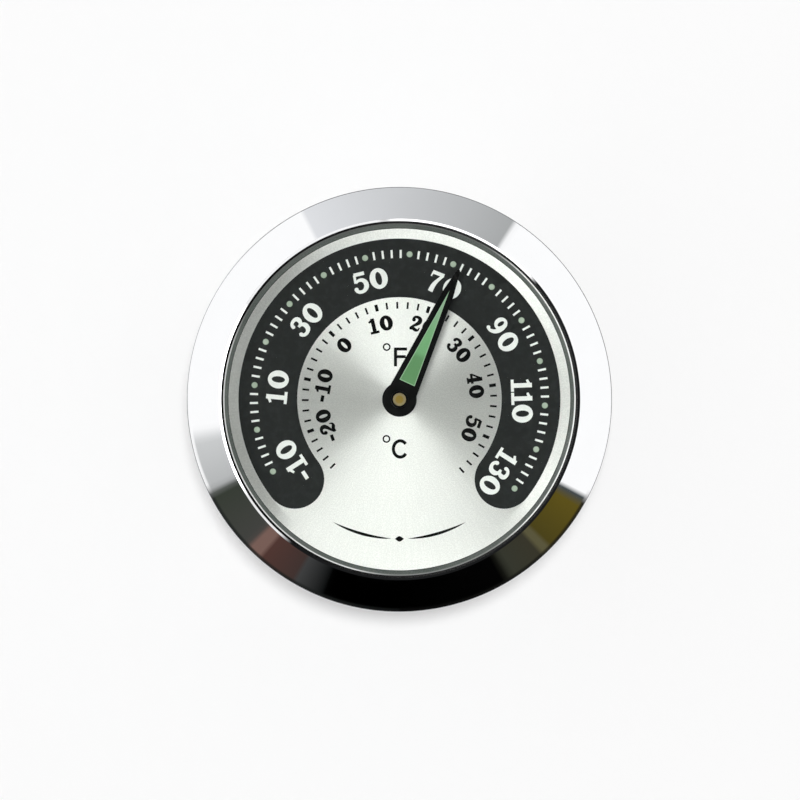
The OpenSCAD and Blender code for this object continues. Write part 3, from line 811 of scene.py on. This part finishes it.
def makeLens(shape):
    rim = lipInner - shape["rimGap"]
    face = rim - shape["bevel"]
    bevelFoot = lensHigh.z - shape["bevel"]
    corners = [
        (0, lensLow.z, 0),
        (lensHigh.x, lensLow.z, 0),
        (lensHigh.x, lensFlangeTop, 0),
        (rim, lensFlangeTop, 0),
        (rim, bevelFoot, shape["softening"]),
        (face, lensHigh.z, shape["softening"]),
        (0, lensHigh.z, 0),
    ]
    disc = latheGrid(roundedProfile(corners, shape["arcSteps"]), shape["turns"])
    lensEdge = groundGlassEdge("lensEdge", glassEdgeLook, face, rim, bevelFoot)
    lens = makePiece("lensDisc", disc, [lensPane, lensUnderside, lensEdge], "lens", sharp=shape["sharp"])
    # its flat top gets the first material, and its underside the second
    centres = np.array([polygon.center[:] for polygon in lens.data.polygons])
    radius, level = np.hypot(centres[:, 0], centres[:, 1]), centres[:, 2]
    index = np.full(len(centres), 2)
    index[(radius < face) & (level > lensHigh.z - lensFaceDepth)] = 0
    index[(radius < rim) & (level < lensLow.z + lensFaceDepth)] = 1
    lens.data.polygons.foreach_set("material_index", index.astype(np.int32))


makeLens(lensShape)
print("bezel and glass made")


# Housing: a cup with a boss for the swivel screw and three posts inside
housingShape = {
    "backBevel": 1.5 * mm,
    "softening": 0.6 * mm,
    "edgeRounding": 0.06 * mm,
    "shoulder": (0.97 * mm, 3.0 * mm),  # step for the bezel's skirt: width and height
    "stack": (21.79 * mm, 1.31 * mm),  # seat of the gaskets: radius and depth
    "cavity": 20.04 * mm,
    "floor": 2.5 * mm,
    "boss": (5.0 * mm, 2.5 * mm),
    "screwHole": (2.52 * mm, 4.2 * mm),
    "post": (2.2 * mm, 8.5 * mm),
    "postHole": (1.02 * mm, 4.4 * mm),
    "postCircle": 16.54 * mm,
    "postAngles": (0, 240 * degree, 120 * degree),
    "turns": (240, 60),  # of the cup and of the posts
    "arcSteps": (5, 2),
}


def makeHousing(shape):
    low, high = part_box("housing")
    back, rim, wall, soft = low.z, high.z, high.x, shape["softening"]
    bevel, inside = shape["backBevel"], low.z + shape["floor"]
    shoulderWidth, shoulderHeight = shape["shoulder"]
    stackRadius, stackDepth = shape["stack"]
    bossRadius, bossHeight = shape["boss"]
    holeRadius, holeDepth = shape["screwHole"]
    edge = shape["edgeRounding"]
    cup = [
        (0, back + holeDepth, 0),
        (holeRadius, back + holeDepth, 0),
        (holeRadius, back, edge),
        (wall - bevel, back, soft),
        (wall, back + bevel, soft),
        (wall, rim - shoulderHeight, edge),
        (wall - shoulderWidth, rim - shoulderHeight, edge),
        (wall - shoulderWidth, rim, edge),
        (stackRadius, rim, edge),
        (stackRadius, rim - stackDepth, edge),
        (shape["cavity"], rim - stackDepth, edge),
        (shape["cavity"], inside, soft),
        (bossRadius, inside, edge),
        (bossRadius, inside + bossHeight, edge),
        (0, inside + bossHeight, 0),
    ]
    postRadius, postHeight = shape["post"]
    drillRadius, drillDepth = shape["postHole"]
    top = inside + postHeight
    post = [
        (0, top - drillDepth, 0),
        (drillRadius, top - drillDepth, 0),
        (drillRadius, top, edge),
        (postRadius, top, edge),
        (postRadius, inside, 0),
        (0, inside, 0),
    ]
    profiles = [roundedProfile(corners, steps) for corners, steps in zip((cup, post), shape["arcSteps"])]
    cupGrid, postGrid = [latheGrid(profile, turns) for profile, turns in zip(profiles, shape["turns"])]
    posts = copiesAround(postGrid, shape["postCircle"], shape["postAngles"])
    makePiece("housingShell", joined([cupGrid] + posts), [housingChrome], "housing")


makeHousing(housingShape)
print("housing made")


# Numerals: strokes of a flat pen through (x, y, pen width), in parts of the numeral's height, then the
# room that the numeral takes. A ring has its outer and inner half axes and its centre
penStrokes = {
    "0": [[("ring", 0.43, 0.5, 0.17, 0.33)], 0.98],
    "1": [[
        [(0.02, 0.5, 0.2), (0.02, -0.45, 0.2)],
        [(-0.27, -0.435, 0.13), (0.31, -0.435, 0.13)],
        [(-0.25, 0.27, 0.1), (-0.1, 0.34, 0.12), (0.04, 0.45, 0.1)],
    ], 0.76],
    "2": [[
        [(-0.2, 0.2, 0.2)],
        [(-0.25, 0.2, 0.12), (-0.19, 0.37, 0.13), (-0.01, 0.43, 0.15), (0.17, 0.35, 0.2), (0.2, 0.16, 0.22),
         (0.06, -0.04, 0.17), (-0.14, -0.22, 0.12), (-0.27, -0.4, 0.12)],
        [(-0.3, -0.45, 0.1), (-0.1, -0.36, 0.17), (0.1, -0.42, 0.17), (0.25, -0.38, 0.1), (0.3, -0.2, 0.05)],
    ], 0.79],
    "3": [[
        [(-0.23, 0.24, 0.17)],
        [(-0.25, 0.26, 0.14), (-0.17, 0.38, 0.14), (0.0, 0.43, 0.15), (0.16, 0.37, 0.19), (0.19, 0.23, 0.2),
         (0.11, 0.09, 0.14), (-0.06, 0.05, 0.11)],
        [(-0.06, 0.06, 0.11), (0.13, 0.02, 0.15), (0.22, -0.12, 0.21), (0.19, -0.31, 0.21),
         (0.04, -0.42, 0.16), (-0.14, -0.41, 0.15), (-0.26, -0.29, 0.15)],
        [(-0.24, -0.27, 0.18)],
    ], 0.78],
    "4": [[
        [(0.1, 0.5, 0.2), (0.1, -0.45, 0.2)],
        [(0.08, 0.46, 0.1), (-0.28, -0.15, 0.09)],
        [(-0.33, -0.18, 0.13), (0.33, -0.18, 0.13)],
        [(-0.1, -0.45, 0.1), (0.3, -0.45, 0.1)],
    ], 0.78],
    "5": [[
        [(-0.24, 0.42, 0.16), (0.27, 0.42, 0.16)],
        [(-0.21, 0.42, 0.12), (-0.24, 0.02, 0.11)],
        [(-0.22, 0.03, 0.1), (-0.08, 0.12, 0.13), (0.11, 0.11, 0.17), (0.24, -0.04, 0.21),
         (0.23, -0.25, 0.21), (0.07, -0.41, 0.16), (-0.14, -0.42, 0.15), (-0.28, -0.31, 0.15)],
        [(-0.26, -0.28, 0.19)],
    ], 0.8],
    "7": [[
        [(-0.28, 0.42, 0.16), (0.3, 0.42, 0.16)],
        [(-0.25, 0.42, 0.08), (-0.28, 0.2, 0.06)],
        [(0.25, 0.4, 0.12), (0.07, 0.08, 0.15), (-0.03, -0.2, 0.2), (-0.06, -0.5, 0.22)],
    ], 0.75],
    "9": [[
        ("ring", 0.3, 0.32, 0.11, 0.19, -0.01, 0.18),
        [(0.2, 0.2, 0.19), (0.21, -0.03, 0.2), (0.14, -0.25, 0.18), (-0.02, -0.4, 0.14), (-0.2, -0.44, 0.1)],
        [(-0.2, -0.4, 0.17)],
    ], 0.82],
    "-": [[[(-0.21, -0.1, 0.17), (0.21, -0.1, 0.17)]], 0.5],
}


penSteps = {"ring": 48, "dot": 16, "perPoint": 8}  # round a ring or a dot, and for each point of a line


def smoothLine(controls, count):
    # Catmull-Rom cubic through the control points, the pen's width too
    knots = np.array(controls)
    s = np.linspace(0, len(knots) - 1, count)
    i = np.minimum(s.astype(int), len(knots) - 2)
    f = (s - i)[:, None]
    a, b, c, d = [knots[np.clip(i + step, 0, len(knots) - 1)] for step in (-1, 0, 1, 2)]
    return 0.5 * (2 * b + (c - a) * f + (2 * a - 5 * b + 4 * c - d) * f**2 + (3 * b - a - 3 * c + d) * f**3)


def circleArc(start, end, count, endpoint=True):
    # points (cos t, sin t) on a circle of radius 1
    t = np.linspace(start, end, count, endpoint=endpoint)
    return np.column_stack([np.cos(t), np.sin(t)])


def ringEdges(outerX, outerY, innerX, innerY, centreX=0.0, centreY=0.0, count=penSteps["ring"]):
    # two ellipses round the same centre
    circle, centre = circleArc(0, 2 * math.pi, count, False), np.array((centreX, centreY))
    return centre + circle * (outerX, outerY), centre + circle * (innerX, innerY)


def strokeEdges(stroke):
    # both edges of one pen stroke, and whether it closes on itself
    if stroke[0] == "ring":
        return *ringEdges(*stroke[1:]), True
    if len(stroke) == 1:  # a single point is a round dot as wide as the pen
        x, y, width = stroke[0]
        return *ringEdges(width / 2, width / 2, 0, 0, x, y, penSteps["dot"]), True
    line = smoothLine(stroke, 2 if len(stroke) == 2 else penSteps["perPoint"] * len(stroke))
    along = np.gradient(line[:, :2], axis=0)
    along /= np.linalg.norm(along, axis=1, keepdims=True)
    aside = np.stack([-along[:, 1], along[:, 0]], axis=-1) * line[:, 2:] / 2
    return line[:, :2] + aside, line[:, :2] - aside, False


def strokeSolid(stroke, place, low, high):
    # the stroke as a flat bar: point (i, j) is corner j of its cross-section at step i
    left, right, closed = strokeEdges(stroke)
    corners = [(left, low), (left, high), (right, high), (right, low)]
    sides = [np.column_stack([place(edge), np.full(len(edge), level)]) for edge, level in corners]
    faces = gridFaces(len(left), 4, closed)
    if not closed:
        faces = np.vstack([faces, [[0, 1, 2, 3]], [np.arange(4) + 4 * (len(left) - 1)]])
    return np.stack(sides, axis=1), faces


def printPiece(name, strokes, level, material, node):
    # neighbouring strokes differ a little in height, so that none share a face
    step, count = dialPrint["stagger"]
    solids = []
    for index, (stroke, place) in enumerate(strokes):
        top = level + dialPrint["thickness"] * (1 + step * (index % count))
        solids.append(strokeSolid(stroke, place, level, top))
    makePiece(name, joined(solids), [material], node, replaced=False, sharp=0)


def atDial(angle, radius, size, aside, turned):
    # moves outlines to a place on the dial, tops outwards or turned from that
    right = math.pi / 2
    centre = radius * clockwise(angle) + aside * clockwise(angle + right)
    up, across = clockwise(angle + turned), clockwise(angle + turned + right)
    return lambda flat: centre + size * (flat[:, :1] * across + flat[:, 1:] * up)


def shifted(place, x):
    return lambda flat: place(flat + np.array((x, 0)))


def bolder(stroke, factor):
    # the same stroke with a wider pen; a ring grows inwards
    if stroke[0] == "ring":
        kind, outerX, outerY, innerX, innerY, *centre = stroke
        innerX = outerX - (outerX - innerX) * factor
        innerY = outerY - (outerY - innerY) * factor
        return kind, outerX, outerY, innerX, innerY, *centre
    return [(x, y, width * factor) for x, y, width in stroke]


def wordStrokes(word, place, tracking, boldness):
    # the strokes of a word's signs side by side, centred on its place
    advances = [penStrokes[sign][1] + tracking for sign in word]
    start = -sum(advances) / 2
    found = []
    for sign, advance in zip(word, advances):
        here = shifted(place, start + advance / 2)
        found += [(bolder(stroke, boldness), here) for stroke in penStrokes[sign][0]]
        start += advance
    return found


# Dial print: both rings of numbers, two unit signs and a swelled rule
dialPrint = {
    "fahrenheit": {
        "readings": range(-10, 131, 20), "radius": 14.43 * mm, "height": 2.47 * mm, "boldness": 1.08,
        # single numerals: mm moved clockwise, degrees turned clockwise, tighter spacing
        "moved": {-10: (-0.1, -3, 0), 90: (0.26, 0, 0), 110: (-0.48, -4.4, 0.13), 130: (-0.32, -5.4, 0.04)},
    },
    "celsius": {
        "readings": range(-20, 51, 10), "radius": 9.12 * mm, "height": 1.8 * mm, "boldness": 1.25,
        "moved": {
            -20: (-0.09, 0, 0), -10: (-0.34, -2, 0), 10: (-0.07, 0, 0), 20: (-0.06, 0, 0),
            30: (0.13, -1, 0), 40: (-0.32, -1, 0), 50: (-0.18, -4, 0),
        },
    },
    "lowFahrenheit": -10,
    "lowAngle": -119.65,  # of that reading, clockwise from the top
    "degreesPerFahrenheit": 247.35 / 140,
    "thickness": 0.04 * mm,
    "stagger": (0.05, 5),  # part of the thickness between levels, and their number
    "signHeight": 2.2 * mm,
    "fahrenheitSign": (0.13 * mm, 5.0 * mm),
    "celsiusSign": (0.1 * mm, -5.83 * mm),
    "degreeRing": (-1.63 * mm, 1.18 * mm),  # from its sign
    "ruleRadius": 16.43 * mm,
    "ruleSpan": (3.2, 28.5),  # degrees from the dial's foot, on both sides
    "ruleWidth": 0.34 * mm,
    "ruleSwell": 0.8,  # less than 1 fills out its ends
    "rulePoints": 9,
    "lozenge": (1.6, 1.9),  # half length and height in widths of the rule
}
signStrokes = {
    "F": [
        [(-0.27, 0.5, 0.17), (-0.27, -0.5, 0.17)],
        [(-0.3, 0.43, 0.16), (0.35, 0.43, 0.16)],
        [(-0.3, 0.02, 0.16), (0.28, 0.02, 0.16)],
    ],
    "C": [[(0.37 * math.cos(t * degree), 0.435 * math.sin(t * degree), 0.17) for t in range(38, 325, 26)]],
    "degree": [("ring", 0.21, 0.21, 0.13, 0.13)],
}


def dialAngle(fahrenheit):
    above = fahrenheit - dialPrint["lowFahrenheit"]
    return (dialPrint["lowAngle"] + above * dialPrint["degreesPerFahrenheit"]) * degree


def numberRing(scale, toFahrenheit):
    found = []
    for value in scale["readings"]:
        aside, turned, tighter = scale["moved"].get(value, (0, 0, 0))
        angle = dialAngle(toFahrenheit(value))
        place = atDial(angle, scale["radius"], scale["height"], aside * mm, turned * degree)
        found += wordStrokes(str(value), place, -tighter, scale["boldness"])
    return found


def signAt(letter, centre):
    size = dialPrint["signHeight"]
    ring = np.add(centre, dialPrint["degreeRing"])
    found = [(stroke, lambda flat: flat * size + centre) for stroke in signStrokes[letter]]
    return found + [(stroke, lambda flat: flat * size + ring) for stroke in signStrokes["degree"]]


def ruleStrokes():
    # two tapering arcs with a lozenge between them
    radius, width = dialPrint["ruleRadius"], dialPrint["ruleWidth"]
    start, end = dialPrint["ruleSpan"]
    found = []
    for side in (-1, 1):
        t = np.linspace(start, end, dialPrint["rulePoints"])
        swell = width * np.clip(np.sin((t - start) / (end - start) * math.pi), 0, 1) ** dialPrint["ruleSwell"]
        found.append(list(zip(side * radius * np.sin(t * degree), -radius * np.cos(t * degree), swell)))
    half, height = [share * width for share in dialPrint["lozenge"]]
    lozenge = [(-half, -radius, 0), (0, -radius, height), (half, -radius, 0)]
    return [(stroke, lambda flat: flat) for stroke in found + [lozenge]]


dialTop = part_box("dial_plate")[1].z
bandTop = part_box("scale_band")[1].z


def makeDialPrint(settings):
    numbers = numberRing(settings["fahrenheit"], lambda value: value)
    printPiece("fahrenheitNumbers", numbers, bandTop, printWhite, "fahrenheit_strokes")
    numbers = numberRing(settings["celsius"], lambda value: 32 + 1.8 * value)
    signs = signAt("F", settings["fahrenheitSign"]) + signAt("C", settings["celsiusSign"])
    blackPrint = {"celsiusNumbers": numbers, "unitSigns": signs, "dialRule": ruleStrokes()}
    for name, strokes in blackPrint.items():
        printPiece(name, strokes, dialTop, signBlack, "celsius_strokes")


makeDialPrint(dialPrint)
print("dial print made")


# Dial margin: the silver rim outside the black band, dished slightly inwards
marginShape = {
    "fromBand": 0.03 * mm,
    "width": 1.35 * mm,
    "thickness": 0.01 * mm,
    "dish": 4.6 * degree,
    "flat": (34 * degree, 62 * degree),  # from the dial's foot: flat to the first, dished from the second
    "turns": 240,
}


def makeMargin(shape):
    # a thin ring on the plate, whose outer edge rises at the angle of the dish
    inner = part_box("scale_band")[1].x + shape["fromBand"]
    outer = inner + shape["width"]
    high = dialTop + shape["thickness"]
    section = np.array([(inner, dialTop), (outer, dialTop), (outer, high), (inner, high)])
    points, faces = latheGrid(section, shape["turns"])
    outerTop = points[2]
    flat, dished = shape["flat"]
    fromFoot = np.abs(np.arctan2(outerTop[:, 0], -outerTop[:, 1]))
    t = np.clip((fromFoot - flat) / (dished - flat), 0, 1)
    outerTop[:, 2] += shape["width"] * math.tan(shape["dish"]) * t * t * (3 - 2 * t)  # eases in and out
    makePiece("dialMargin", (points, faces), [dialSilver], "dial_plate", replaced=False)


makeMargin(marginShape)
print("dial margin made")


# Luminous dots: drops of paint, each a low dome
lumeDotShape = {
    "readings": range(-10, 131, 10),
    "ringRadius": 17.15 * mm,
    "radius": 0.375 * mm,
    "arcPoints": 6,
    "turns": 28,
}


def makeLumeDomes(shape):
    low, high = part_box("lume_dots")
    height = high.z - low.z
    t = np.linspace(0, math.pi / 2, shape["arcPoints"])
    # quarter ellipse from the drop's top to its rim, then back under it
    quarter = np.column_stack([shape["radius"] * np.sin(t), low.z + height * np.cos(t)])
    drop = latheGrid(np.vstack([quarter, [(0, low.z)]]), shape["turns"])
    angles = [dialAngle(reading) for reading in shape["readings"]]
    drops = copiesAround(drop, shape["ringRadius"], angles)
    makePiece("lumeDomes", joined(drops), [lumePaint], "lume_dots")


makeLumeDomes(lumeDotShape)


# Pointer blade: a hub, straight edges to a shoulder, and a short taper to the tip
bladeShape = {
    "hub": 2.03 * mm,
    "hole": 1.02 * mm,
    "rootWidth": 3.54 * mm,  # where its edges would reach the spindle's axis
    "shoulder": (13.6 * mm, 1.44 * mm),  # distance from the spindle, and width
    "tip": (16.6 * mm, 0.21 * mm),  # distance and radius of the rounded end
    "arcPoints": (6, 26),  # of the tip and of the hub, on one side
    "rounding": (0.05 * mm, 2),  # width and steps
}


def bladeOutline(shape):
    # right half from the tip down to the hub's back, then its mirror image
    hub, root = shape["hub"], shape["rootWidth"] / 2
    shoulder, width = shape["shoulder"]
    tip, end = shape["tip"]
    tipPoints, hubPoints = shape["arcPoints"]
    slope = (root - width / 2) / shoulder
    # the edge x = root - slope * y meets the hub's circle at this height
    under = (slope * root) ** 2 - (1 + slope**2) * (root**2 - hub**2)
    joint = (slope * root + math.sqrt(under)) / (1 + slope**2)
    tipArc = end * circleArc(math.pi / 2, 0, tipPoints) + (0, tip)
    hubArc = hub * circleArc(math.asin(joint / hub), -math.pi / 2, hubPoints)
    right = np.vstack([tipArc, [(width / 2, shoulder)], hubArc])
    return np.vstack([right, right[-2:0:-1] * (-1, 1)])


def makeBlade(shape):
    # a flat plate with a hole in its hub, turned to point where the insert's tip does
    low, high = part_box("pointer_blade")
    edge = bladeOutline(shape)
    hole = shape["hole"] * circleArc(math.pi / 2, -1.5 * math.pi, len(edge), False)
    ahead = insertTip / np.linalg.norm(insertTip)
    aside = np.array((ahead[1], -ahead[0]))
    rings = [(edge, low.z), (edge, high.z), (hole, high.z), (hole, low.z)]
    sides = [np.column_stack([flat @ (aside, ahead), np.full(len(flat), level)]) for flat, level in rings]
    faces = gridFaces(len(rings), len(edge), True)
    blade = makePiece("pointerPlate", (np.stack(sides), faces), [pointerBlack], "pointer_blade")
    roundEdges(blade, *shape["rounding"])


makeBlade(bladeShape)


# Softened copies of CAD nodes: finish, width and steps of the rounding, and nodes
softenedNodes = [
    (clampChrome, 0.35 * mm, 3, ["clamp_saddle", "clamp_cap"]),
    (linerRubber, 0.15 * mm, 2, ["saddle_liner", "cap_liner"]),
    (screwSteel, 0.12 * mm, 2, ["clamp_screws", "swivel_screw"]),
    (washerNylon, 0.12 * mm, 2, ["swivel_washer"]),
    (pointerBlack, 0.05 * mm, 2, ["pointer_collet"]),
    (insertPaint, 0.05 * mm, 2, ["pointer_lume"]),
]
for finish, width, segments, nodeNames in softenedNodes:
    for nodeName in nodeNames:
        first, *others = nodeName.split("_")
        pieceName = first + "".join(word.capitalize() for word in others) + "Soft"
        softenedCopy(pieceName, nodeName, finish, width, segments)
print("dots, clamp and pointer made")


# CAD nodes that keep their shape
nodeFinishes = [
    (dialSilver, ["dial_plate"]),
    (printBlack, ["scale_band"]),
    (printWhite, ["fahrenheit_strokes"]),
    (signBlack, ["celsius_strokes"]),
    (spindleBrass, ["spindle"]),
    (ringSilver, ["dial_ring"]),
    (gasketRubber, ["lens_gasket", "bezel_gasket"]),
    (screwSteel, ["movement_screws", "bridge_screws"]),
    (bimetalStrip, ["bimetal_coil"]),
    (movementBrass, [
        "movement_plate", "front_bush", "bridge_pillars", "rear_bridge", "rear_bush",
        "coil_anchor", "coil_collet",
    ]),
]
for finish, nodeNames in nodeFinishes:
    for nodeName in nodeNames:
        for materialSlot in frame["nodes"][nodeName].material_slots:
            materialSlot.material = finish
